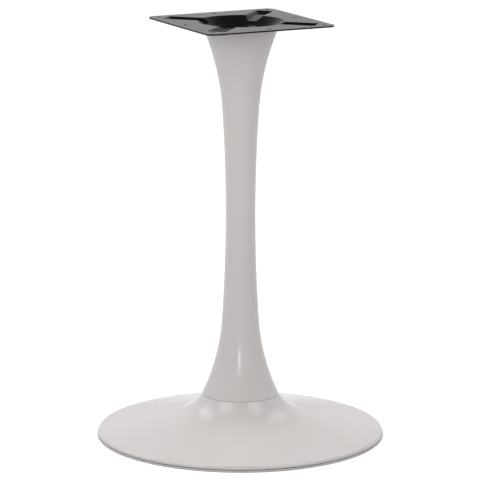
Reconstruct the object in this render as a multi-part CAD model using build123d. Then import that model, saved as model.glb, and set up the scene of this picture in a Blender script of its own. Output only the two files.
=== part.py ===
from build123d import *
import os
from math import cos, radians, sin, sqrt, tan

# Pedestal base for a table: a pressed steel top plate on a trumpet column, which
# stands on a cast iron foot under a spun steel cover. One rod clamps them together.
# Millimetres. The origin is on the floor at the middle of the foot, +Z points up and
# the edges of the top plate lie along X and Y.

# Overall
height = 720.0

# Top plate, a pressed sheet
plate_side = 240.0
plate_corner_radius = 15.0
plate_sheet = 2.5
plate_bend_radius = 5.0        # upper side of the bend where the plate drops away
plate_floor_radius = 3.0       # upper side of the bend at the foot of a wall
dish_rim_radius = 74.0
dish_depth = 12.0
dish_wall_angle = 27.0
channel_width = 30.0
channel_end_margin = 14.0      # from a channel's outer end to the middle of the corner hole
channel_depth = 7.0            # at the rim of the dish
channel_end_depth = 4.0        # at the foot of the channel's end wall
channel_wall_angle = 45.0
channel_corner_radius = 5.0    # upper side of the corners at a channel's outer end
channel_mouth_radius = 7.0     # where a channel opens into the dish
screw_edge_distance = 16.0     # from the plate's edge to the middle of a hole
screw_hole_diameter = 7.0

# Column, a spun tube
column_wall = 1.5
column_foot_radius = 66.0
column_waist_radius = 25.4
column_waist_height = 392.0
column_body_arc = 2700.0
column_lower_blend = 203.0     # height where the lower flare leaves the body arc
column_upper_blend = 570.0
column_mouth_room = 5.1        # from the underside of the dish's wall to the outside of the mouth
seam_height = 72.0

# Cover of the foot, a spun sheet
cover_sheet = 1.5
cover_radius = 246.5
cover_edge_radius = 5.7
cover_skirt = 0.3              # straight part under the rounded edge
cover_slope = 11.0
cover_slope_radius = 117.0     # where the slope turns up into the neck
cover_gap = 1.2                # dark gap over the floor ring

# Floor ring, moulded
ring_lip = 1.0                 # past the cover
ring_width = 32.5
ring_thickness = 3.6
ring_edge_radius = 0.8
bead_setback = 16.5            # from the ring's outer edge to the middle of the bead
bead_width = 4.0
bead_height = 2.0

# Cast foot under the cover
foot_wall = 9.0
foot_rim_width = 38.5          # flat rim that stands on the ring
hollow_corner_radius = 3.0
web_drop = 18.0                # from the seam down to the underside of the web
web_thickness = 10.0
pocket_radius = 48.0
pocket_corner_radius = 4.0
spigot_height = 12.0           # above the seam
shoulder_drop = 4.0            # below the seam

# Rod, nuts and washers
rod_diameter = 10.0
rod_chamfer = 1.0
rod_set_back = 1.0             # top of the rod below the floor of the dish
rod_end_length = 4.0           # below the lower nut
weld_nut_across = 17.0
weld_nut_height = 10.0
nut_across = 16.0
nut_height = 8.4
nut_chamfer_angle = 30.0
washer_diameter = 30.0
washer_thickness = 2.5
spring_washer_diameter = 18.1
spring_washer_thickness = 2.2
spring_washer_split = 2.0
washer_edge = 0.3

# Fits
seat_clearance = 0.1           # between surfaces that seat on each other
thread_clearance = 0.1
rod_hole_clearance = 0.5
bead_clearance = 0.3
skirt_clearance = 1.5          # between the casting and the inside of the cover's edge

# Slack when edges are picked by their level
tolerance = 0.01

# Places and levels that follow from the sizes above
screw_hole_offset = plate_side / 2 - screw_edge_distance
channel_reach = screw_hole_offset * sqrt(2) - channel_end_margin
dish_floor = height - dish_depth
channel_end_foot = channel_reach - channel_end_depth / tan(radians(channel_wall_angle))
channel_fall = (channel_depth - channel_end_depth) / (channel_end_foot - dish_rim_radius)
dish_wall_run = channel_depth / (tan(radians(dish_wall_angle)) - channel_fall)
dish_wall_growth = plate_sheet * tan(radians(dish_wall_angle) / 2)
column_mouth_radius = dish_rim_radius + dish_wall_growth - dish_wall_run + column_mouth_room
mouth_drop = channel_depth + channel_fall * (dish_rim_radius - column_mouth_radius + column_wall)
column_top = height - mouth_drop - plate_sheet * sqrt(1 + channel_fall ** 2) - seat_clearance
cover_bottom = ring_thickness + cover_gap
cover_edge_drop = cover_edge_radius * tan(radians(90 - cover_slope) / 2)
cover_edge_height = cover_bottom + cover_skirt + cover_edge_drop
ring_radius = cover_radius + ring_lip
bead_radius = ring_radius - bead_setback
foot_radius = cover_radius - cover_sheet - skirt_clearance
hollow_radius = foot_radius - foot_rim_width
web_height = seam_height - web_drop
web_top = web_height + web_thickness
rod_hole_diameter = rod_diameter + 2 * rod_hole_clearance
rod_bottom = web_height - washer_thickness - spring_washer_thickness - nut_height - rod_end_length
rod_top = dish_floor - rod_set_back


def spin(section):
    """Solid turned about Z from a section drawn as radius and height."""
    return revolve(Plane.XZ * section, Axis.Z)


def disc(radius, bottom, top):
    """Upright round solid about Z."""
    return Pos(0, 0, bottom) * Cylinder(radius, top - bottom, align=(Align.CENTER, Align.CENTER, Align.MIN))


def tangent_centre(start, direction, end):
    """Centre of the arc that leaves start along direction and ends at end."""
    chord = end - start
    normal = Vector(-direction.Y, direction.X)
    return start + normal * (chord.dot(chord) / (2 * chord.dot(normal)))


def arc_about(centre, start, end):
    """Shorter arc about centre from start to end."""
    middle = ((start + end) / 2 - centre).normalized()
    return ThreePointArc(start, centre + middle * (start - centre).length, end)


def point_on_arc(centre, radius, level):
    """Point at a height on the axis side of an arc."""
    return Vector(centre.X - sqrt(radius ** 2 - (level - centre.Y) ** 2), level)


# Column


def column_arcs():
    """Blend points and centres of the column's outline: lower flare, body and upper flare."""
    body = Vector(column_waist_radius + column_body_arc, column_waist_height)
    low = point_on_arc(body, column_body_arc, column_lower_blend)
    high = point_on_arc(body, column_body_arc, column_upper_blend)
    low_radius = (body - low).normalized()
    high_radius = (body - high).normalized()
    foot = Vector(column_foot_radius, seam_height)
    mouth = Vector(column_mouth_radius, column_top)
    low_centre = tangent_centre(low, Vector(low_radius.Y, -low_radius.X), foot)
    high_centre = tangent_centre(high, Vector(-high_radius.Y, high_radius.X), mouth)
    return (low, low_centre, foot), body, (high, high_centre, mouth)


def column_section(inset):
    """Half section of the column's outline drawn in by inset, closed along the axis."""
    (low, low_centre, foot), body, (high, high_centre, mouth) = column_arcs()
    low_in = low - (body - low).normalized() * inset
    high_in = high - (body - high).normalized() * inset
    foot_in = point_on_arc(low_centre, (foot - low_centre).length + inset, foot.Y)
    mouth_in = point_on_arc(high_centre, (mouth - high_centre).length + inset, mouth.Y)
    outline = [
        Line((0, foot.Y), foot_in),
        arc_about(low_centre, foot_in, low_in),
        arc_about(body, low_in, high_in),
        arc_about(high_centre, high_in, mouth_in),
        Line(mouth_in, (0, mouth.Y)),
        Line((0, mouth.Y), (0, foot.Y)),
    ]
    return make_face(Wire(outline))


def make_column():
    """Trumpet tube, open at both ends."""
    return spin(column_section(0) - column_section(column_wall))


# Foot


def dome_section(inset, top, bottom, wall_radius, corner_radius):
    """Half section under the cover's outline drawn in by inset, cut at two levels and at a wall."""
    slope = radians(cover_slope)
    along = Vector(cos(slope), -sin(slope))
    upward = Vector(sin(slope), cos(slope))
    start_level = cover_edge_height + (cover_radius - cover_slope_radius) * tan(slope)
    start = Vector(cover_slope_radius, start_level)
    centre = tangent_centre(start, -along, Vector(column_foot_radius, seam_height))
    start_in = start - upward * inset
    neck_in = point_on_arc(centre, (start - centre).length + inset, top)
    corner = start_in + along * ((wall_radius - start_in.X) / cos(slope))
    tangent_length = corner_radius * tan((radians(90) - slope) / 2)
    corner_start = corner - along * tangent_length
    corner_end = corner - Vector(0, tangent_length)
    corner_centre = corner_end - Vector(corner_radius, 0)
    outline = [
        Line((0, top), neck_in),
        arc_about(centre, neck_in, start_in),
        Line(start_in, corner_start),
        arc_about(corner_centre, corner_start, corner_end),
        Line(corner_end, (wall_radius, bottom)),
        Line((wall_radius, bottom), (0, bottom)),
        Line((0, bottom), (0, top)),
    ]
    return make_face(Wire(outline))


def make_base_cover():
    """Spun cover with a neck, a straight slope and a rounded edge."""
    outside = dome_section(0, seam_height, cover_bottom, cover_radius, cover_edge_radius)
    inside = dome_section(
        cover_sheet, seam_height, cover_bottom, cover_radius - cover_sheet, cover_edge_radius - cover_sheet
    )
    return spin(outside - inside)


def bead_groove(clearance):
    """Ring-shaped solid of the bead, or of its groove when there is a clearance."""
    width = bead_width + 2 * clearance
    depth = bead_height + clearance
    section = Pos(bead_radius, ring_thickness + depth / 2) * Rectangle(width, depth)
    return spin(section)


def make_ballast_foot():
    """Casting that fills the cover, with a web for the rod and a spigot for the column."""
    shoulder = seam_height - shoulder_drop
    spigot_top = seam_height + spigot_height
    inset = cover_sheet + seat_clearance
    body = spin(dome_section(inset, shoulder, ring_thickness, foot_radius, cover_edge_radius - cover_sheet))
    hollow = spin(dome_section(inset + foot_wall, web_height, 0, hollow_radius, hollow_corner_radius))
    column_room = spin(column_section(column_wall + seat_clearance))
    spigot = column_room & disc(column_foot_radius, seam_height, spigot_top)
    spigot_radius = spigot.bounding_box().max.X
    spigot += disc(spigot_radius, shoulder, seam_height)
    pocket = disc(pocket_radius, web_top, spigot_top)
    pocket = fillet(pocket.edges().group_by(Axis.Z)[0], pocket_corner_radius)
    rod_hole = disc(rod_hole_diameter / 2, web_height, web_top)
    return body + spigot - hollow - pocket - rod_hole - bead_groove(bead_clearance)


def make_floor_ring():
    """Flat ring between the foot and the floor, with a bead that holds it in place."""
    ring = disc(ring_radius, 0, ring_thickness) - disc(ring_radius - ring_width, 0, ring_thickness)
    ring = fillet(ring.edges().filter_by(GeomType.CIRCLE), ring_edge_radius)
    return ring + bead_groove(0)


# Top plate


def channel_room(metal):
    """Room of the channel along X, whose floor falls towards the dish, moved out by the metal."""
    steep = tan(radians(channel_wall_angle))
    shift = metal / sin(radians(channel_wall_angle))
    inner = dish_rim_radius / 2
    reach = channel_reach + shift
    half_width = channel_width / 2 + shift
    rim_level = height - channel_depth - metal * sqrt(1 + channel_fall ** 2)
    foot = (reach * steep + rim_level - height - dish_rim_radius * channel_fall) / (steep - channel_fall)
    inner_level = rim_level - (dish_rim_radius - inner) * channel_fall
    foot_level = height - (reach - foot) * steep
    side = make_face(Polyline((inner, height), (reach, height), (foot, foot_level), (inner, inner_level), close=True))
    end = make_face(Polyline((-half_width, height), (half_width, height), (0, height - half_width * steep), close=True))
    room = extrude(Plane.XZ * side, amount=half_width, both=True) & extrude(Plane.YZ * end, amount=reach)
    corners = room.faces().sort_by(Axis.X)[-1].edges().filter_by(lambda edge: abs(edge.center().Y) > tolerance)
    room = fillet(corners, channel_corner_radius + metal)
    floor_edges = room.faces().sort_by(Axis.Z)[0].edges()
    outer_edges = floor_edges.filter_by(lambda edge: edge.center().X > inner + tolerance)
    return fillet(outer_edges, plate_floor_radius + metal)


def dish_room(top, widening, floor_radius):
    """Room of the round dish, widened at its top, with a rounded floor."""
    radius = dish_rim_radius + widening * tan(radians(dish_wall_angle) / 2)
    floor_edge = radius - dish_depth / tan(radians(dish_wall_angle))
    room = Pos(0, 0, top - dish_depth) * Cone(
        floor_edge, radius, dish_depth, align=(Align.CENTER, Align.CENTER, Align.MIN)
    )
    return fillet(room.edges().sort_by(Axis.Z)[0], floor_radius)


def mouth_edges(form, top):
    """Edges where the channels cut the wall of the dish."""
    wall = form.faces().filter_by(GeomType.CONE).sort_by(SortBy.AREA)[-1]
    lowest = top - (channel_depth + dish_depth) / 2
    low = wall.edges().filter_by(lambda edge: edge.bounding_box().min.Z > lowest)
    return low.filter_by(lambda edge: edge.center().Z < top - tolerance)


def press_form(side, corner_radius, metal):
    """Block whose upper face is the plate's, or the plate's underside when metal is the sheet."""
    top = height - metal
    depth = 2 * dish_depth + metal
    form = extrude(Pos(0, 0, top) * RectangleRounded(side, side, corner_radius), amount=-depth)
    form -= dish_room(top, metal, plate_floor_radius + metal)
    for turn in (45, 135, 225, 315):
        form -= Rot(0, 0, turn) * channel_room(metal)
    form = fillet(mouth_edges(form, top), channel_mouth_radius - metal)
    rim = form.faces().sort_by(Axis.Z)[-1].inner_wires()[0]
    return fillet(rim.edges(), plate_bend_radius - metal)


def screw_holes():
    """Eight holes for the table top's screws: four at the corners, four between them."""
    grid = [(column, row) for column in (-1, 0, 1) for row in (-1, 0, 1) if column or row]
    drill = disc(screw_hole_diameter / 2, height - plate_sheet, height)
    return [Pos(column * screw_hole_offset, row * screw_hole_offset, 0) * drill for column, row in grid]


def make_top_plate():
    """Pressed sheet: what is left between the two forms of the press, with its holes."""
    upper = press_form(plate_side, plate_corner_radius, 0)
    lower = press_form(plate_side + plate_corner_radius, plate_corner_radius, plate_sheet)
    rod_hole = disc(rod_hole_diameter / 2, dish_floor - plate_sheet, dish_floor)
    return upper - lower - screw_holes() - rod_hole


# Rod, nuts and washers


def make_tie_rod():
    """Straight rod with a chamfer at each end."""
    rod = disc(rod_diameter / 2, rod_bottom, rod_top)
    return chamfer(rod.edges().filter_by(GeomType.CIRCLE), rod_chamfer)


def nut(across, bottom, top):
    """Hexagon nut with both faces chamfered to a round."""
    middle = (bottom + top) / 2
    tall = top - bottom
    hexagon = extrude(Pos(0, 0, bottom) * RegularPolygon(across / 2, 6, major_radius=False), amount=tall)
    spread = tall / 2 / tan(radians(nut_chamfer_angle))
    cone = Cone(across / 2 + spread, across / 2, tall / 2, align=(Align.CENTER, Align.CENTER, Align.MIN))
    rounding = Pos(0, 0, middle) * cone + Pos(0, 0, middle) * Rot(180, 0, 0) * cone
    bore = disc(rod_diameter / 2 + thread_clearance, bottom, top)
    return (hexagon & rounding) - bore


def make_weld_nut():
    """Nut welded under the floor of the dish."""
    top = dish_floor - plate_sheet
    return nut(weld_nut_across, top - weld_nut_height, top)


def washer(outer_diameter, top, thickness):
    """Flat ring with its outer edges broken, seated under a level."""
    ring = disc(outer_diameter / 2, top - thickness, top)
    ring = chamfer(ring.edges().filter_by(GeomType.CIRCLE), washer_edge)
    return ring - disc(rod_hole_diameter / 2, top - thickness, top)


def make_clamp_washer():
    """Large washer under the web of the foot."""
    return washer(washer_diameter, web_height, washer_thickness)


def make_spring_washer():
    """Split washer between the large washer and the lower nut."""
    top = web_height - washer_thickness
    ring = washer(spring_washer_diameter, top, spring_washer_thickness)
    reach = spring_washer_diameter / 2
    split = Box(reach, spring_washer_split, 2 * spring_washer_thickness)
    return ring - Pos(reach / 2, 0, top - spring_washer_thickness / 2) * split


def make_clamp_nut():
    """Nut on the lower end of the rod."""
    top = web_height - washer_thickness - spring_washer_thickness
    return nut(nut_across, top - nut_height, top)


# Nodes

makers = {
    "top_plate": make_top_plate,
    "column": make_column,
    "base_cover": make_base_cover,
    "ballast_foot": make_ballast_foot,
    "floor_ring": make_floor_ring,
    "tie_rod": make_tie_rod,
    "weld_nut": make_weld_nut,
    "clamp_washer": make_clamp_washer,
    "spring_washer": make_spring_washer,
    "clamp_nut": make_clamp_nut,
}

if __name__ == "__main__":
    os.makedirs("parts", exist_ok=True)
    for name, make in makers.items():
        export_step(make(), f"parts/{name}.step")
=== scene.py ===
"""Dresses the table base: paint, casting, plated steel, floor, light and camera.

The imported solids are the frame. The spun pieces are turned again as fine meshes in the
same place, the pressed plate is a smooth copy of its solid, and the rest keeps its own
mesh under a better finish. Lengths are in metres.
"""
import logging
import math
from collections.abc import Sequence
from dataclasses import dataclass, field
from enum import Enum

import bmesh
import bpy
from mathutils import Matrix, Vector


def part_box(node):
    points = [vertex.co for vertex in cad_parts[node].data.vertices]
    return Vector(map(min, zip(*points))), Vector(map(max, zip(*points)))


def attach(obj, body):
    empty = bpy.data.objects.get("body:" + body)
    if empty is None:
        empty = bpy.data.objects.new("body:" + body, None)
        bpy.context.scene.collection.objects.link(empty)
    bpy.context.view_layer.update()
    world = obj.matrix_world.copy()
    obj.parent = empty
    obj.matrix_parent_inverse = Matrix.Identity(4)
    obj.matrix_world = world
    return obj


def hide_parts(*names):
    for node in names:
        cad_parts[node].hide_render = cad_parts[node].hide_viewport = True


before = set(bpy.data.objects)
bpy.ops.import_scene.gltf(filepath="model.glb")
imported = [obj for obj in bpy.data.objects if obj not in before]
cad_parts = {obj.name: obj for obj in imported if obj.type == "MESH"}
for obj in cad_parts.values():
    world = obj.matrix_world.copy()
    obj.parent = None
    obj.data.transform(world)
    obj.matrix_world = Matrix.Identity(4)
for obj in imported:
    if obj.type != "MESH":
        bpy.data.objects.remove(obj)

log = logging.getLogger("table_base")
BODY = "root"
Colour = tuple[float, float, float]
WHITE: tuple[float, float, float, float] = (1.0, 1.0, 1.0, 1.0)
SAME_POINT = 1e-6


class Slot(Enum):
    """The record's material slots."""

    PLATE = "plate_black"
    COLUMN = "column_grey"
    COVER = "cover_grey"
    RING = "ring_grey"
    CASTING = "casting"
    ZINC = "zinc"


# Node trees


class Number:
    """A number on a socket. Python operators on it add Math nodes."""

    def __init__(self, graph: "Graph", socket: bpy.types.NodeSocket) -> None:
        """Wrap a socket.

        Args:
            graph: The tree that the socket is in.
            socket: The output that carries the number.
        """
        self.graph = graph
        self.socket = socket

    def _with(self, operation: str, first: object, second: object = 0.0) -> "Number":
        """Add one Math node.

        Args:
            operation: The Math node's operation.
            first: Its first value or Number.
            second: Its second value or Number.

        Returns:
            The node's result.
        """
        node = self.graph.node("ShaderNodeMath", {"operation": operation}, {0: first, 1: second})
        return Number(self.graph, node.outputs[0])

    def __add__(self, other: object) -> "Number":
        """Sum."""
        return self._with("ADD", self, other)

    __radd__ = __add__

    def __sub__(self, other: object) -> "Number":
        """Difference."""
        return self._with("SUBTRACT", self, other)

    def __rsub__(self, other: object) -> "Number":
        """Difference from a plain value."""
        return self._with("SUBTRACT", other, self)

    def __mul__(self, other: object) -> "Number":
        """Product."""
        return self._with("MULTIPLY", self, other)

    __rmul__ = __mul__

    def __truediv__(self, other: object) -> "Number":
        """Quotient."""
        return self._with("DIVIDE", self, other)

    def __lt__(self, other: object) -> "Number":
        """One where this is less, else zero."""
        return self._with("LESS_THAN", self, other)

    def __gt__(self, other: object) -> "Number":
        """One where this is more, else zero."""
        return self._with("GREATER_THAN", self, other)

    def root(self) -> "Number":
        """Square root."""
        return self._with("SQRT", self)

    def largest(self, other: object) -> "Number":
        """The larger of two numbers."""
        return self._with("MAXIMUM", self, other)

    def least(self, other: object) -> "Number":
        """The smaller of two numbers."""
        return self._with("MINIMUM", self, other)

    def size(self) -> "Number":
        """The number without its sign."""
        return self._with("ABSOLUTE", self)

    def fraction(self) -> "Number":
        """What is left over from whole turns."""
        return self._with("FRACT", self)

    def angle(self, across: object) -> "Number":
        """Angle of the point whose Y is this and whose X is given."""
        return self._with("ARCTAN2", self, across)


class Graph:
    """A node tree that is being built."""

    def __init__(self, tree: bpy.types.NodeTree) -> None:
        """Start from an empty tree.

        Args:
            tree: The tree, whose nodes are removed.
        """
        self.tree = tree
        tree.nodes.clear()

    def node(self, kind: str, settings: dict | None = None, sockets: dict | None = None) -> bpy.types.Node:
        """Add a node.

        Args:
            kind: The node's type.
            settings: Its properties by name, set first.
            sockets: Values, Numbers or output sockets for its inputs, by name or index.

        Returns:
            The new node.
        """
        node = self.tree.nodes.new(kind)
        for name, value in (settings or {}).items():
            setattr(node, name, value)
        for key, value in (sockets or {}).items():
            source = value.socket if isinstance(value, Number) else value
            if isinstance(source, bpy.types.NodeSocket):
                self.tree.links.new(source, node.inputs[key])
            else:
                node.inputs[key].default_value = source
        return node

    def number(self, socket: bpy.types.NodeSocket) -> Number:
        """Wrap an output as a Number."""
        return Number(self, socket)

    def ramp(self, factor: Number, stops: Sequence[tuple[float, float]]) -> Number:
        """Map a number through straight stretches.

        Args:
            factor: The number to map, from 0 to 1.
            stops: Places from 0 to 1 and the value at each.

        Returns:
            The mapped number.
        """
        node = self.node("ShaderNodeValToRGB", {}, {"Fac": factor})
        elements = node.color_ramp.elements
        while len(elements) < len(stops):
            elements.new(0.5)
        for element, (place, value) in zip(elements, stops):
            element.position = place
            element.color = (value, value, value, 1.0)
        return Number(self, node.outputs["Color"])

    def blend(self, factor: Number, first: Colour, second: Colour) -> bpy.types.NodeSocket:
        """Mix two colours.

        Args:
            factor: Share of the second colour.
            first: Red, green and blue.
            second: Red, green and blue.

        Returns:
            The mixed colour's socket.
        """
        colours = {0: factor, 6: (*first, 1.0), 7: (*second, 1.0)}
        return self.node("ShaderNodeMix", {"data_type": "RGBA"}, colours).outputs[2]


# Finishes


@dataclass(frozen=True)
class Finish:
    """A finish with fine relief and faint changes of tone, in object space."""

    colour: Colour
    shade: Colour
    roughness: float
    roughness_spread: float
    grain: float
    relief: float
    patch: float = 0.08
    metallic: float = 0.0
    specular: float = 0.5
    coat: float = 0.0
    coat_roughness: float = 0.06
    coat_ior: float = 1.25
    patch_detail: float = 3.0
    grain_detail: float = 2.0
    patch_stops: tuple[tuple[float, float], ...] = ((0.3, 0.0), (0.7, 1.0))

    def material(self, name: str) -> bpy.types.Material:
        """Build the material.

        Args:
            name: The material's name.

        Returns:
            The material.
        """
        material = bpy.data.materials.new(name)
        material.use_nodes = True
        graph = Graph(material.node_tree)
        place = graph.node("ShaderNodeTexCoord").outputs["Object"]
        patches = self.noise(graph, place, 1.0 / self.patch, self.patch_detail)
        grain = self.noise(graph, place, 1.0 / self.grain, self.grain_detail)
        bump = graph.node("ShaderNodeBump", {}, {"Strength": 1.0, "Distance": self.relief, "Height": grain})
        surface = graph.node("ShaderNodeBsdfPrincipled", {}, {
            "Base Color": graph.blend(graph.ramp(patches, self.patch_stops), self.colour, self.shade),
            "Roughness": self.roughness + (patches - 0.5) * self.roughness_spread,
            "Metallic": self.metallic,
            "Specular IOR Level": self.specular,
            "Coat Weight": self.coat_weight(graph, place, patches),
            "Coat Roughness": self.coat_roughness,
            "Coat IOR": self.coat_ior,
            "Normal": bump.outputs["Normal"],
        })
        graph.node("ShaderNodeOutputMaterial", {}, {"Surface": surface.outputs["BSDF"]})
        return material

    def coat_weight(self, graph: Graph, place: bpy.types.NodeSocket, patches: Number) -> object:
        """Weight of the gloss coat, the same all over unless a finish says otherwise.

        Args:
            graph: The material's tree.
            place: The coordinates.
            patches: The slow noise, about 0.5.

        Returns:
            The weight.
        """
        return self.coat

    def noise(self, graph: Graph, place: bpy.types.NodeSocket, scale: float, detail: float) -> Number:
        """Add a noise in object space.

        Args:
            graph: The material's tree.
            place: The coordinates.
            scale: Lumps per metre.
            detail: Octaves.

        Returns:
            The noise, about 0.5.
        """
        node = graph.node("ShaderNodeTexNoise", {}, {"Vector": place, "Scale": scale, "Detail": detail})
        return graph.number(node.outputs[0])


@dataclass(frozen=True)
class PressedPaint(Finish):
    """Black paint whose coat is thinner down in the dish and the channels."""

    top: float = 0.72
    depth: float = 0.012
    fade: float = 0.6
    spread: float = 0.08

    def coat_weight(self, graph: Graph, place: bpy.types.NodeSocket, patches: Number) -> object:
        """Weight of the gloss coat, less down in the dish and the channels.

        Args:
            graph: The material's tree.
            place: The coordinates.
            patches: The slow noise, about 0.5.

        Returns:
            The weight.
        """
        level = graph.number(graph.node("ShaderNodeSeparateXYZ", {}, {0: place}).outputs[2])
        sunk = ((self.top - level) / self.depth).largest(0.0).least(1.0)
        return self.coat - sunk * self.fade + (patches - 0.5) * self.spread


FINISHES: dict[Slot, Finish] = {
    Slot.PLATE: PressedPaint(
        (0.004, 0.004, 0.004), (0.006, 0.006, 0.006), roughness=0.5, roughness_spread=0.08,
        grain=0.0011, relief=0.000006, specular=0.0, coat=0.96,
    ),
    Slot.COLUMN: Finish(
        (0.566, 0.536, 0.527), (0.556, 0.53, 0.522), roughness=0.24, roughness_spread=0.04,
        grain=0.0009, relief=0.000006,
    ),
    Slot.COVER: Finish(
        (0.575, 0.546, 0.537), (0.565, 0.54, 0.532), roughness=0.17, roughness_spread=0.04,
        grain=0.0009, relief=0.000006,
    ),
    Slot.RING: Finish(
        (0.5, 0.498, 0.492), (0.47, 0.468, 0.462), roughness=0.55, roughness_spread=0.08,
        grain=0.0007, relief=0.00002,
    ),
    Slot.CASTING: Finish(
        (0.035, 0.034, 0.033), (0.055, 0.052, 0.048), roughness=0.62, roughness_spread=0.15,
        grain=0.0022, relief=0.00025, patch=0.03,
    ),
    Slot.ZINC: Finish(
        (0.62, 0.63, 0.66), (0.55, 0.56, 0.58), roughness=0.32, roughness_spread=0.12,
        grain=0.0008, relief=0.00002, patch=0.004, metallic=1.0,
    ),
}


# Meshes


def arc(centre: Vector, start: Vector, end: Vector, steps: int) -> list[Vector]:
    """Points of the shorter arc about a centre, without its start.

    Args:
        centre: Centre as radius and height.
        start: First end.
        end: Last end.
        steps: Number of points.

    Returns:
        The points, the end included.
    """
    first = start - centre
    turn = first.angle_signed(end - centre)
    return [centre + Matrix.Rotation(-turn * step / steps, 2) @ first for step in range(1, steps + 1)]


def plain_piece(name: str, mesh: bpy.types.Mesh, slot: Slot, *nodes: str) -> bpy.types.Object:
    """Make a mesh a dressed piece that stands for CAD nodes.

    Args:
        name: The piece's name.
        mesh: Its mesh, already in place.
        slot: The finish it takes.
        nodes: The CAD nodes that it stands for.

    Returns:
        The piece.
    """
    piece = bpy.data.objects.new(name, mesh)
    bpy.context.scene.collection.objects.link(piece)
    mesh.materials.clear()
    mesh.materials.append(MATERIALS[slot])
    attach(piece, BODY)
    if nodes:
        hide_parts(*nodes)
    log.info("%s: %d faces, %s", name, len(mesh.polygons), slot.value)
    return piece


def turned_mesh(name: str, outline: list[Vector], sides: int, sharp: float = 35.0) -> bpy.types.Mesh:
    """Turn a closed outline about Z.

    Args:
        name: The mesh's name.
        outline: Points of radius and height, in order, without a repeat.
        sides: Faces round the axis.
        sharp: Degrees between faces from which an edge is sharp.

    Returns:
        The mesh, smooth, with sharp edges where the outline turns sharply.
    """
    work = bmesh.new()
    rings = []
    for side in range(sides):
        angle = 2 * math.pi * side / sides
        across, deep = math.cos(angle), math.sin(angle)
        rings.append([work.verts.new((p.x * across, p.x * deep, p.y)) for p in outline])
    for side, ring in enumerate(rings):
        following = rings[(side + 1) % sides]
        for index in range(len(outline)):
            after = (index + 1) % len(outline)
            work.faces.new((ring[index], following[index], following[after], ring[after]))
    bmesh.ops.recalc_face_normals(work, faces=work.faces)
    mesh = bpy.data.meshes.new(name)
    work.to_mesh(mesh)
    work.free()
    mesh.shade_smooth()
    mesh.set_sharp_from_angle(angle=math.radians(sharp))
    return mesh


def smooth_copy(node: str, sharp: float = 24.0) -> bpy.types.Mesh:
    """Copy a CAD node's mesh with its doubles merged and its bends shaded smooth.

    Args:
        node: The CAD node.
        sharp: Degrees between faces from which an edge is sharp.

    Returns:
        The copy.
    """
    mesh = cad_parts[node].data.copy()
    work = bmesh.new()
    work.from_mesh(mesh)
    bmesh.ops.remove_doubles(work, verts=work.verts, dist=SAME_POINT)
    work.to_mesh(mesh)
    work.free()
    mesh.shade_smooth()
    mesh.set_sharp_from_angle(angle=math.radians(sharp))
    return mesh


def settled(name: str, maker: bpy.types.Object) -> bpy.types.Mesh:
    """Turn an object with modifiers into a plain mesh and remove the object.

    Args:
        name: The mesh's name.
        maker: The object with its modifiers.

    Returns:
        The plain mesh.
    """
    bpy.context.view_layer.update()
    evaluated = maker.evaluated_get(bpy.context.evaluated_depsgraph_get())
    mesh = bpy.data.meshes.new_from_object(evaluated)
    mesh.name = name
    bpy.data.objects.remove(maker)
    return mesh


# Turned pieces that follow a rule


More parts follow.
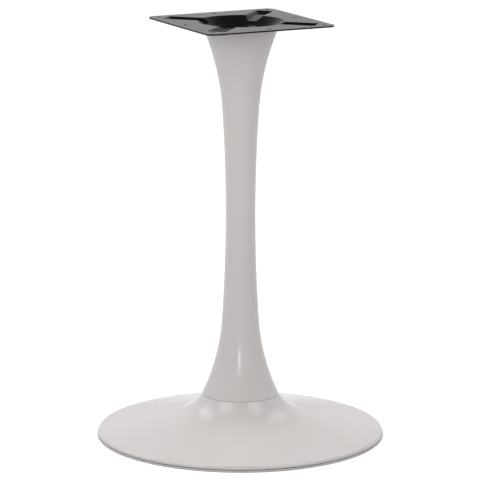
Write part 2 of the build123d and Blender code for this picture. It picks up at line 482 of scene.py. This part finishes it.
@dataclass
class TurnedTree:
    """Geometry nodes that turn a tube or rod whose radius follows a rule."""

    name: str
    finish: Slot
    sizes: dict[str, float]
    rings: int
    sides: int
    fill: str = "NONE"

    def build(self) -> bpy.types.Object:
        """Build the tree and put it on an object.

        Returns:
            The object, whose modifier carries the sizes.
        """
        tree = bpy.data.node_groups.new(self.name, "GeometryNodeTree")
        graph = Graph(tree)
        names = {name: self.add_input(tree, name, "NodeSocketFloat") for name in self.sizes}
        names["Rings"] = self.add_input(tree, "Rings", "NodeSocketInt")
        names["Sides"] = self.add_input(tree, "Sides", "NodeSocketInt")
        tree.interface.new_socket("Geometry", in_out="OUTPUT", socket_type="NodeSocketGeometry")
        self.wire(graph)
        maker = bpy.data.objects.new(self.name, bpy.data.meshes.new(self.name))
        bpy.context.scene.collection.objects.link(maker)
        turned = maker.modifiers.new(self.name, "NODES")
        turned.node_group = tree
        for name, value in {**self.sizes, "Rings": self.rings, "Sides": self.sides}.items():
            turned[names[name]] = value
        return maker

    def add_input(self, tree: bpy.types.NodeTree, name: str, kind: str) -> str:
        """Give the tree a named input.

        Args:
            tree: The tree.
            name: The input's name.
            kind: The socket's type.

        Returns:
            The socket's identifier.
        """
        return tree.interface.new_socket(name, in_out="INPUT", socket_type=kind).identifier

    def wire(self, graph: Graph) -> None:
        """Add the nodes from the inputs to the finished mesh.

        Args:
            graph: The tree.
        """
        given = graph.node("NodeGroupInput")
        sizes = {name: graph.number(given.outputs[name]) for name in self.sizes}
        tube = graph.node("GeometryNodeMeshCylinder", {"fill_type": self.fill}, {
            "Vertices": given.outputs["Sides"], "Side Segments": given.outputs["Rings"],
            "Radius": 1.0, "Depth": 1.0,
        })
        place = graph.node("ShaderNodeSeparateXYZ", {}, {0: graph.node("GeometryNodeInputPosition").outputs[0]})
        across, deep = graph.number(place.outputs[0]), graph.number(place.outputs[1])
        level = self.level_at(graph.number(place.outputs[2]) + 0.5, sizes)
        radius = self.radius_at(level, deep.angle(across), sizes)
        moved = graph.node("ShaderNodeCombineXYZ", {}, {0: across * radius, 1: deep * radius, 2: level})
        shaped = graph.node("GeometryNodeSetPosition", {}, {
            "Geometry": tube.outputs["Mesh"], "Position": moved.outputs[0],
        })
        smooth = graph.node("GeometryNodeSetShadeSmooth", {}, {"Geometry": shaped.outputs[0]})
        real = graph.node("GeometryNodeRealizeInstances", {}, {"Geometry": smooth.outputs[0]})
        painted = graph.node("GeometryNodeSetMaterial", {}, {
            "Geometry": real.outputs[0], "Material": MATERIALS[self.finish],
        })
        graph.node("NodeGroupOutput", {}, {0: painted.outputs[0]})

    def level_at(self, share: Number, sizes: dict[str, Number]) -> Number:
        """Height of a ring.

        Args:
            share: The ring's place, from 0 at the lowest to 1.
            sizes: The tree's size inputs by name.

        Returns:
            The height above the floor.
        """
        return sizes["Low"] + share * (sizes["High"] - sizes["Low"])

    def radius_at(self, level: Number, angle: Number, sizes: dict[str, Number]) -> Number:
        """Radius at a level and an angle, which each turned piece gives.

        Args:
            level: Height above the floor.
            angle: Angle about the axis, in radians.
            sizes: The tree's size inputs by name.

        Returns:
            The radius.
        """
        raise NotImplementedError


@dataclass
class TrumpetTree(TurnedTree):
    """A trumpet: three arcs, each tangent to the next."""

    def radius_at(self, level: Number, angle: Number, sizes: dict[str, Number]) -> Number:
        """Radius of the column at a level, the same all round.

        Args:
            level: Height above the floor.
            angle: Angle about the axis, which makes no difference.
            sizes: The tree's size inputs by name.

        Returns:
            The radius.
        """
        arc_radius = sizes["Body Arc"]
        centre = sizes["Waist Radius"] + arc_radius
        body = self.on_arc(level, centre, sizes["Waist Height"], arc_radius)
        foot = self.flare(level, sizes, "Lower Blend", sizes["Foot Radius"], sizes["Low"])
        mouth = self.flare(level, sizes, "Upper Blend", sizes["Mouth Radius"], sizes["High"])
        below = level < sizes["Lower Blend"]
        above = level > sizes["Upper Blend"]
        return body + (foot - body) * below + (mouth - body) * above

    def flare(
        self, level: Number, sizes: dict[str, Number], blend: str, end: Number, end_level: Number,
    ) -> Number:
        """Radius on the arc that leaves the body arc at a blend and ends at the foot or the mouth.

        Args:
            level: Height above the floor.
            sizes: The tree's size inputs by name.
            blend: Name of the blend's input.
            end: Radius at the end.
            end_level: Height of the end.

        Returns:
            The radius.
        """
        arc_radius = sizes["Body Arc"]
        centre = sizes["Waist Radius"] + arc_radius
        start_level = sizes[blend]
        start = self.on_arc(start_level, centre, sizes["Waist Height"], arc_radius)
        across = (centre - start) / arc_radius
        along = (sizes["Waist Height"] - start_level) / arc_radius
        run = end - start
        rise = end_level - start_level
        radius = (run * run + rise * rise) / (2.0 * (run * across + rise * along))
        return self.on_arc(level, start + across * radius, start_level + along * radius, radius)

    def on_arc(self, level: Number, centre: Number, centre_level: Number, radius: Number) -> Number:
        """Radius at a level of the axis side of an arc.

        Args:
            level: Height above the floor.
            centre: The arc centre's distance from the axis.
            centre_level: The arc centre's height.
            radius: The arc's radius.

        Returns:
            The distance from the axis.
        """
        rise = level - centre_level
        return centre - (radius * radius - rise * rise).root()


@dataclass
class Column:
    """The trumpet tube between the foot's cover and the top plate."""

    node: str = "column"
    waist_radius: float = 0.0254
    waist_height: float = 0.392
    body_arc: float = 2.7
    lower_blend: float = 0.203
    upper_blend: float = 0.570
    mouth_radius: float = 0.0643
    wall: float = 0.0015
    edge: float = 0.0005
    edge_steps: int = 3
    edge_angle: float = 40.0
    seam_gap: float = 0.0005
    rings: int = 150
    sides: int = 192

    def build(self) -> bpy.types.Object:
        """Turn the tube, give it its wall and break its edges.

        Returns:
            The piece.
        """
        low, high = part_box(self.node)
        sizes = {
            "Foot Radius": high.x, "Low": low.z + self.seam_gap,
            "Mouth Radius": self.mouth_radius, "High": high.z,
            "Waist Radius": self.waist_radius, "Waist Height": self.waist_height,
            "Body Arc": self.body_arc,
            "Lower Blend": self.lower_blend, "Upper Blend": self.upper_blend,
        }
        maker = TrumpetTree("trumpet", Slot.COLUMN, sizes, self.rings, self.sides).build()
        skin = maker.modifiers.new("wall", "SOLIDIFY")
        skin.thickness = self.wall
        skin.offset = -1.0
        bevel = maker.modifiers.new("edge", "BEVEL")
        bevel.width = self.edge
        bevel.segments = self.edge_steps
        bevel.limit_method = "ANGLE"
        bevel.angle_limit = math.radians(self.edge_angle)
        mesh = settled("column_tube", maker)
        return plain_piece("column_tube", mesh, Slot.COLUMN, self.node)


@dataclass
class ThreadTree(TurnedTree):
    """A rod with chamfered ends and a thread cut at each end."""

    lower_share: float = 0.7
    shank_share: float = 0.02
    flank: float = 1.25
    crest: float = 0.1

    def level_at(self, share: Number, sizes: dict[str, Number]) -> Number:
        """Height of a ring, most of which lie on the threads.

        Args:
            share: The ring's place, from 0 at the lowest to 1.
            sizes: The tree's size inputs by name.

        Returns:
            The height above the floor.
        """
        upper_start = self.lower_share + self.shank_share
        plain = sizes["High"] - sizes["Low"] - sizes["Lower Thread"] - sizes["Upper Thread"]
        beyond = (share - self.lower_share).largest(0.0)
        lower = share.least(self.lower_share) / self.lower_share * sizes["Lower Thread"]
        shank = beyond.least(self.shank_share) / self.shank_share * plain
        upper = (share - upper_start).largest(0.0) / (1 - upper_start) * sizes["Upper Thread"]
        return sizes["Low"] + lower + shank + upper

    def radius_at(self, level: Number, angle: Number, sizes: dict[str, Number]) -> Number:
        """Radius of the rod, with flat crests and roots that climb round it.

        Args:
            level: Height above the floor.
            angle: Angle about the axis, in radians.
            sizes: The tree's size inputs by name.

        Returns:
            The radius.
        """
        pitch = sizes["Pitch"]
        turns = level / pitch - angle / (2 * math.pi)
        tooth = (turns.fraction() * 2.0 - 1.0).size() * self.flank - self.crest
        above_low, below_high = level - sizes["Low"], sizes["High"] - level
        lower_left, upper_left = sizes["Lower Thread"] - above_low, sizes["Upper Thread"] - below_high
        runout = (lower_left / pitch).largest(upper_left / pitch)
        cut = tooth.largest(0.0).least(1.0) * runout.largest(0.0).least(1.0) * sizes["Depth"]
        chamfered = sizes["Radius"] - (sizes["Chamfer"] - above_low.least(below_high)).largest(0.0)
        return (sizes["Radius"] - cut).least(chamfered)


@dataclass
class TieRod:
    """The rod that clamps the plate, the column and the foot."""

    node: str = "tie_rod"
    pitch: float = 0.0015
    depth: float = 0.0009
    chamfer: float = 0.001
    lower_thread: float = 0.034
    upper_thread: float = 0.014
    sharp: float = 40.0
    rings: int = 360
    sides: int = 40

    def build(self) -> bpy.types.Object:
        """Turn the rod with its threads.

        Returns:
            The piece.
        """
        low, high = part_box(self.node)
        sizes = {
            "Low": low.z, "High": high.z, "Radius": high.x,
            "Pitch": self.pitch, "Depth": self.depth, "Chamfer": self.chamfer,
            "Lower Thread": self.lower_thread, "Upper Thread": self.upper_thread,
        }
        maker = ThreadTree("threaded_rod", Slot.ZINC, sizes, self.rings, self.sides, "NGON").build()
        mesh = settled("threaded_rod", maker)
        mesh.set_sharp_from_angle(angle=math.radians(self.sharp))
        return plain_piece("threaded_rod", mesh, Slot.ZINC, self.node)


# The foot


@dataclass
class BaseCover:
    """The spun cover: neck, slope and rounded edge."""

    node: str = "base_cover"
    seam_radius: float = 0.066
    slope: float = 11.0
    slope_radius: float = 0.117
    edge_radius: float = 0.0057
    skirt: float = 0.0003
    wall: float = 0.0015
    rim: float = 0.0006
    rim_fullness: float = 0.35
    neck_steps: int = 40
    slope_steps: int = 12
    edge_steps: int = 10
    sides: int = 288

    def build(self) -> bpy.types.Object:
        """Turn the cover.

        Returns:
            The piece.
        """
        outside = self.skin(0.0)
        inside = self.skin(self.wall)
        outline = outside + inside[::-1]
        mesh = turned_mesh("cover_shell", self.broken(outline), self.sides)
        return plain_piece("cover_shell", mesh, Slot.COVER, self.node)

    def skin(self, inset: float) -> list[Vector]:
        """Outline from the seam to the lower edge, drawn in by the wall.

        Args:
            inset: Distance in from the outer skin.

        Returns:
            Points of radius and height.
        """
        low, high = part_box(self.node)
        tilt = math.radians(self.slope)
        along = Vector((math.cos(tilt), -math.sin(tilt)))
        upward = Vector((math.sin(tilt), math.cos(tilt)))
        drop = self.edge_radius * math.tan((math.pi / 2 - tilt) / 2)
        corner_level = low.z + self.skirt + drop
        slope_rise = (high.x - self.slope_radius) * math.tan(tilt)
        start = Vector((self.slope_radius, corner_level + slope_rise))
        chord = Vector((self.seam_radius, high.z)) - start
        neck_radius = chord.dot(chord) / (2 * chord.dot(upward))
        centre = start + upward * neck_radius
        start -= upward * inset
        reach = neck_radius + inset
        neck = Vector((centre.x - math.sqrt(reach ** 2 - (high.z - centre.y) ** 2), high.z))
        wall_radius = high.x - inset
        corner = start + along * ((wall_radius - start.x) / math.cos(tilt))
        rounding = self.edge_radius - inset
        back = rounding * math.tan((math.pi / 2 - tilt) / 2)
        first = corner - along * back
        last = corner - Vector((0.0, back))
        run = first - start
        slope = [start + run * step / self.slope_steps for step in range(1, self.slope_steps + 1)]
        turn = arc(last - Vector((rounding, 0.0)), first, last, self.edge_steps)
        rise = [neck] + arc(centre, neck, start, self.neck_steps)
        return rise + slope + turn + [Vector((wall_radius, low.z))]

    def broken(self, outline: list[Vector]) -> list[Vector]:
        """Round the outer corner at the seam, so that the joint shows as a fine groove.

        Args:
            outline: The closed outline, which starts at that corner.

        Returns:
            The outline with the corner rounded.
        """
        corner = outline[0]
        down = corner + (outline[1] - corner).normalized() * self.rim
        across = corner + (outline[-1] - corner).normalized() * self.rim
        middle = (down + across) / 2 * (1 - self.rim_fullness) + corner * self.rim_fullness
        return [across, middle, down] + outline[1:]


@dataclass
class FloorRing:
    """The moulded ring that shows as a lip under the cover."""

    node: str = "floor_ring"
    width: float = 0.0325
    thickness: float = 0.0036
    edge: float = 0.0008
    bead_setback: float = 0.0165
    bead_width: float = 0.004
    edge_steps: int = 5
    sides: int = 288

    def build(self) -> bpy.types.Object:
        """Turn the ring with its bead.

        Returns:
            The piece.
        """
        low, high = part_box(self.node)
        outer = high.x
        inner = outer - self.width
        bead_out = outer - self.bead_setback + self.bead_width / 2
        bead_in = bead_out - self.bead_width
        top = self.thickness
        bead = [(bead_out, top), (bead_out, high.z), (bead_in, high.z), (bead_in, top)]
        outline = self.corner(outer, low.z, -1, 1) + self.corner(outer, top, -1, -1)[::-1]
        outline += [Vector(point) for point in bead]
        outline += self.corner(inner, top, 1, -1) + self.corner(inner, low.z, 1, 1)[::-1]
        mesh = turned_mesh("lip_ring", outline, self.sides)
        return plain_piece("lip_ring", mesh, Slot.RING, self.node)

    def corner(self, radius: float, level: float, inward: int, upward: int) -> list[Vector]:
        """Rounded corner, from the flat face to the upright one.

        Args:
            radius: Radius of the sharp corner.
            level: Height of the sharp corner.
            inward: Sign of the way to the middle of the section, along the radius.
            upward: Sign of the way to the middle of the section, in height.

        Returns:
            Points of the rounding.
        """
        start = Vector((radius + inward * self.edge, level))
        end = Vector((radius, level + upward * self.edge))
        return [start] + arc(Vector((start.x, end.y)), start, end, self.edge_steps)


# The plate and what is inside


@dataclass
class TopPlate:
    """The pressed plate."""

    node: str = "top_plate"
    flatness: int = 100

    def build(self) -> bpy.types.Object:
        """Copy the solid and shade its bends smooth.

        Returns:
            The piece.
        """
        maker = bpy.data.objects.new("plate_maker", smooth_copy(self.node))
        bpy.context.scene.collection.objects.link(maker)
        flat = maker.modifiers.new("flat_faces", "WEIGHTED_NORMAL")
        flat.mode = "FACE_AREA"
        flat.weight = self.flatness
        flat.keep_sharp = True
        return plain_piece("pressed_plate", settled("pressed_plate", maker), Slot.PLATE, self.node)


@dataclass
class Inside:
    """The casting and the rod's nuts and washers, which keep their own meshes."""

    slots: dict[str, Slot] = field(default_factory=lambda: {
        "ballast_foot": Slot.CASTING, "weld_nut": Slot.ZINC, "clamp_washer": Slot.ZINC,
        "spring_washer": Slot.ZINC, "clamp_nut": Slot.ZINC,
    })

    def dress(self) -> None:
        """Give each solid its finish."""
        for node, slot in self.slots.items():
            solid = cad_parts[node]
            for index in range(max(1, len(solid.material_slots))):
                if not solid.material_slots:
                    solid.data.materials.append(MATERIALS[slot])
                solid.material_slots[index].material = MATERIALS[slot]
            log.info("%s: %s", node, slot.value)


# The studio


@dataclass(frozen=True)
class SoftBox:
    """A soft box as its target sees it.

    Azimuth (to the right of the camera), elevation, width and height are in degrees. The
    target is a height on the object's axis. A lamp that isn't mirrored shows in no gloss.
    """

    name: str
    azimuth: float
    elevation: float
    width: float
    height: float
    brightness: float
    distance: float = 4.0
    target: float = 0.2
    mirrored: bool = True
    shades: bool = True

    def lamp(self) -> bpy.types.Light:
        """Make the lamp's data."""
        lamp = bpy.data.lights.new(self.name, "AREA")
        lamp.shape = "RECTANGLE"
        lamp.size = 2 * self.distance * math.tan(math.radians(self.width / 2))
        lamp.size_y = 2 * self.distance * math.tan(math.radians(self.height / 2))
        lamp.energy = self.brightness * math.pi * lamp.size * lamp.size_y
        return lamp


SOFT_BOXES: tuple[SoftBox, ...] = (
    SoftBox("box_behind_left", -120.0, 42.0, 25.0, 25.0, 1.8),
    SoftBox("box_left", -50.0, 50.0, 30.0, 28.0, 2.1),
    SoftBox("box_right", 55.0, 52.0, 28.0, 28.0, 1.9),
    SoftBox("box_behind_right", 132.0, 44.0, 24.0, 22.0, 1.2),
    SoftBox("near_left", -42.0, 24.0, 20.0, 20.0, 6.6, 1.2, 0.55, mirrored=False),
    SoftBox("near_right", 40.0, 24.0, 20.0, 20.0, 4.8, 1.2, 0.55, mirrored=False),
)


@dataclass(frozen=True)
class SkyLamp:
    """A broad distant lamp.

    Azimuth, elevation and spread are in degrees. The share is the light that it adds on a
    face turned to it. One that doesn't shade shows only as a catch light in the gloss.
    """

    name: str
    azimuth: float
    elevation: float
    spread: float
    share: float
    distance: float = 4.0
    target: float = 0.2
    mirrored: bool = False
    shades: bool = True

    def lamp(self) -> bpy.types.Light:
        """Make the lamp's data."""
        lamp = bpy.data.lights.new(self.name, "SUN")
        lamp.angle = math.radians(self.spread)
        lamp.energy = math.pi * self.share
        return lamp


SKY_LAMPS: tuple[SkyLamp, ...] = (
    SkyLamp("sky_behind", 180.0, 55.0, 50.0, 0.25),
    SkyLamp("sky_behind_left", -135.0, 55.0, 50.0, 0.17),
    SkyLamp("sky_behind_right", 135.0, 55.0, 50.0, 0.13),
    SkyLamp("catch_light", -4.0, 13.0, 4.0, 0.10, mirrored=True, shades=False),
)


@dataclass
class Studio:
    """Camera, floor, lamps and surroundings."""

    camera_azimuth: float = -27.0
    camera_distance: float = 5.2305
    camera_height: float = 1.4607
    camera_shift_x: float = 0.0017
    camera_yaw: float = -0.0005
    camera_pitch: float = 0.2107
    camera_roll: float = 0.0016
    focal_pixels: float = 3122.8
    picture_pixels: float = 480.0
    sensor_width: float = 36.0
    view_end: float = 200.0
    floor_size: float = 60.0
    floor_tone: float = 0.57
    floor_glow: float = 0.58
    floor_mirrored: float = 0.5
    brightness: tuple[tuple[float, float], ...] = (
        (0.0, 0.69), (15.0, 0.68), (20.0, 0.6), (26.0, 0.55), (31.0, 0.46),
        (37.0, 0.35), (44.0, 0.22), (50.0, 0.13), (57.0, 0.07), (90.0, 0.05),
    )

    def build(self) -> None:
        """Make everything that isn't the object."""
        self.add_camera()
        self.add_floor()
        self.add_lamps()
        self.add_surroundings()
        view = bpy.context.scene.view_settings
        view.view_transform = "Standard"

    def turned(self) -> Matrix:
        """Turn from the camera's own frame, which looks along +Y, to the object's."""
        return Matrix.Rotation(math.radians(self.camera_azimuth), 4, "Z")

    def add_camera(self) -> None:
        """Place the camera as the photograph's was."""
        lens = bpy.data.cameras.new("camera")
        lens.sensor_width = self.sensor_width
        lens.lens = self.focal_pixels / self.picture_pixels * lens.sensor_width
        lens.clip_end = self.view_end
        camera = bpy.data.objects.new("camera", lens)
        level = Matrix.Rotation(math.pi / 2 - self.camera_pitch, 4, "X")
        heading = Matrix.Rotation(-self.camera_yaw, 4, "Z")
        roll = Matrix.Rotation(self.camera_roll, 4, "Z")
        place = Matrix.Translation((self.camera_shift_x, -self.camera_distance, self.camera_height))
        camera.matrix_world = self.turned() @ place @ heading @ level @ roll
        bpy.context.scene.collection.objects.link(camera)
        bpy.context.scene.camera = camera

    def add_floor(self) -> None:
        """Lay a wide pale floor that keeps the object's shadow."""
        half = self.floor_size / 2
        points = [(-half, -half, 0.0), (half, -half, 0.0), (half, half, 0.0), (-half, half, 0.0)]
        mesh = bpy.data.meshes.new("floor")
        mesh.from_pydata(points, [], [(0, 1, 2, 3)])
        floor = bpy.data.objects.new("floor", mesh)
        bpy.context.scene.collection.objects.link(floor)
        mesh.materials.append(self.floor_material())

    def floor_material(self) -> bpy.types.Material:
        """Pale floor that the camera sees as white, shadow apart.

        Returns:
            The material.
        """
        material = bpy.data.materials.new("floor_paper")
        material.use_nodes = True
        graph = Graph(material.node_tree)
        tone = (self.floor_tone, self.floor_tone, self.floor_tone, 1.0)
        paper = graph.node("ShaderNodeBsdfDiffuse", {}, {"Color": tone})
        glow = graph.node("ShaderNodeEmission", {}, {"Color": WHITE, "Strength": self.floor_glow})
        both = graph.node("ShaderNodeAddShader", {}, {0: paper.outputs[0], 1: glow.outputs[0]})
        mix = graph.node("ShaderNodeMixShader", {}, {
            0: self.seen(graph), 1: paper.outputs[0], 2: both.outputs[0],
        })
        graph.node("ShaderNodeOutputMaterial", {}, {"Surface": mix.outputs[0]})
        return material

    def seen(self, graph: Graph) -> Number:
        """Share of the glow: all for the camera and through glass, some of it in a reflection.

        Args:
            graph: The tree that needs it.

        Returns:
            The factor.
        """
        path = graph.node("ShaderNodeLightPath")
        camera = graph.number(path.outputs["Is Camera Ray"])
        glossy = graph.number(path.outputs["Is Glossy Ray"])
        through = graph.number(path.outputs["Is Transmission Ray"])
        return camera.largest(glossy * self.floor_mirrored).largest(through)

    def add_lamps(self) -> None:
        """Hang the soft boxes and the broad lamps."""
        for lamp in SOFT_BOXES + SKY_LAMPS:
            self.hang(lamp)

    def hang(self, lamp: SoftBox | SkyLamp) -> None:
        """Hang a lamp so that it faces its target.

        Args:
            lamp: What to hang.
        """
        holder = bpy.data.objects.new(lamp.name, lamp.lamp())
        holder.visible_glossy = lamp.mirrored
        holder.visible_diffuse = lamp.shades
        side, rise = math.radians(lamp.azimuth), math.radians(lamp.elevation)
        level = math.cos(rise)
        away = Vector((math.sin(side) * level, -math.cos(side) * level, math.sin(rise)))
        turn = away.to_track_quat("Z", "Y").to_matrix().to_4x4()
        place = Matrix.Translation(Vector((0.0, 0.0, lamp.target)) + away * lamp.distance)
        holder.matrix_world = self.turned() @ place @ turn
        bpy.context.scene.collection.objects.link(holder)

    def add_surroundings(self) -> None:
        """Surround the object with a pale backdrop under a darker ceiling, white to the camera."""
        world = bpy.data.worlds.new("studio")
        bpy.context.scene.world = world
        world.use_nodes = True
        graph = Graph(world.node_tree)
        direction = graph.node("ShaderNodeTexCoord").outputs["Generated"]
        height = graph.number(graph.node("ShaderNodeSeparateXYZ", {}, {0: direction}).outputs[2])
        stops = [(math.sin(math.radians(rise)), value) for rise, value in self.brightness]
        level = graph.ramp(height, stops)
        path = graph.node("ShaderNodeLightPath")
        through = graph.number(path.outputs["Is Transmission Ray"])
        direct = graph.number(path.outputs["Is Camera Ray"]).largest(through)
        strength = level + (1.0 - level) * direct
        white = graph.node("ShaderNodeBackground", {}, {"Color": WHITE, "Strength": strength})
        graph.node("ShaderNodeOutputWorld", {}, {"Surface": white.outputs[0]})


def main() -> None:
    """Build the object's pieces and the studio in order."""
    logging.basicConfig(level=logging.INFO, format="%(message)s")
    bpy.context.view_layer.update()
    TopPlate().build()
    Column().build()
    BaseCover().build()
    FloorRing().build()
    TieRod().build()
    Inside().dress()
    Studio().build()


MATERIALS: dict[Slot, bpy.types.Material] = {
    slot: finish.material(slot.value) for slot, finish in FINISHES.items()
}

if __name__ == "__main__":
    main()
